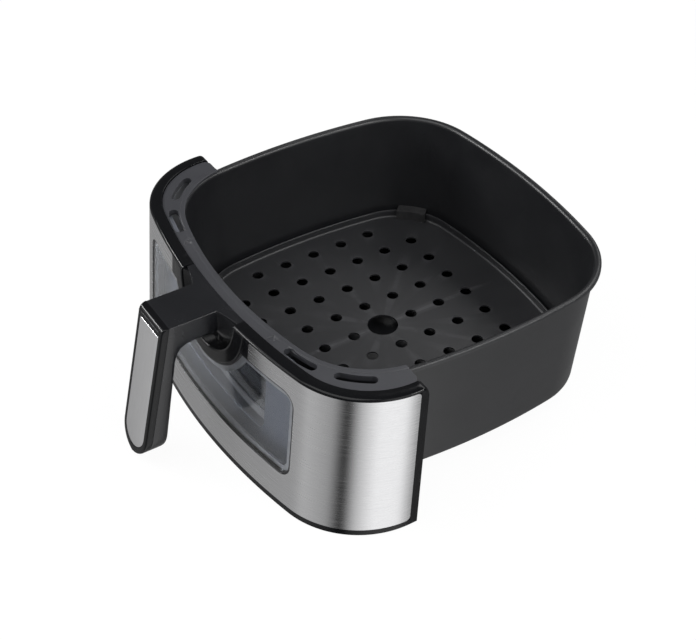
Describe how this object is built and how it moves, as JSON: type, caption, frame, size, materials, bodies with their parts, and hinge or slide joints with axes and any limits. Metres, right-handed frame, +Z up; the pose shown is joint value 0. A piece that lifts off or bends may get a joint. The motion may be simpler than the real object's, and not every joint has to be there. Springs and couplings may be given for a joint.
{
  "type": "air fryer drawer",
  "caption": "Pull-out air fryer drawer: coated pan, curved steel-faced front with a window, vented top cover, drop handle and a crisper plate that lifts out.",
  "frame": {"origin": "middle of the pan's flat base, on its underside", "axes": "+Z up, -Y towards the handle and front panel, X across the drawer, which is symmetric about X = 0"},
  "size_m": [0.2964, 0.3207, 0.111],
  "materials": {
    "pan_coating": "dark grey non-stick coating, satin",
    "plate_coating": "dark non-stick coating, satin",
    "gloss_black": "glossy moulded plastic",
    "cover_grey": "dark grey moulded plastic, fine matt texture",
    "liner_grey": "grey enamelled sheet",
    "brushed_skin": "stainless steel brushed along its length",
    "brushed_insert": "satin brushed aluminium",
    "plain_steel": "plain pressed steel",
    "zinc": "bright zinc plating",
    "tinted_glass": "grey tinted toughened glass",
    "clear_glass": "clear toughened glass",
    "seal": "black silicone rubber",
    "silicone": "black silicone rubber"
  },
  "bodies": {
    "drawer": {"pan": "pan_coating", "pan_window_gasket": "seal", "pan_window_glass": "clear_glass", "pan_window_frame": "plain_steel", "pan_window_nuts": "zinc", "panel_frame": "gloss_black", "steel_skin": "brushed_skin", "window_glass": "tinted_glass", "window_gasket": "seal", "window_retainer": "plain_steel", "top_cover": "cover_grey", "panel_liner": "liner_grey", "mounting_block_left": "cover_grey", "mounting_block_right": "cover_grey", "pan_screws": "zinc", "liner_screws": "zinc", "handle_body": "gloss_black", "handle_core": "plain_steel", "handle_screws": "zinc", "grip_fascia": "gloss_black", "fascia_screw": "zinc", "grip_insert": "brushed_insert"},
    "crisper": {"crisper_plate": "plate_coating", "bumper_front_left": "silicone", "bumper_front_right": "silicone", "bumper_back_left": "silicone", "bumper_back_right": "silicone"}
  },
  "joints": [
    {"name": "crisper_lift", "type": "slide", "parent": "drawer", "child": "crisper", "axis": [0, 0, 1], "range_m": [0, 0.13]}
  ]
}
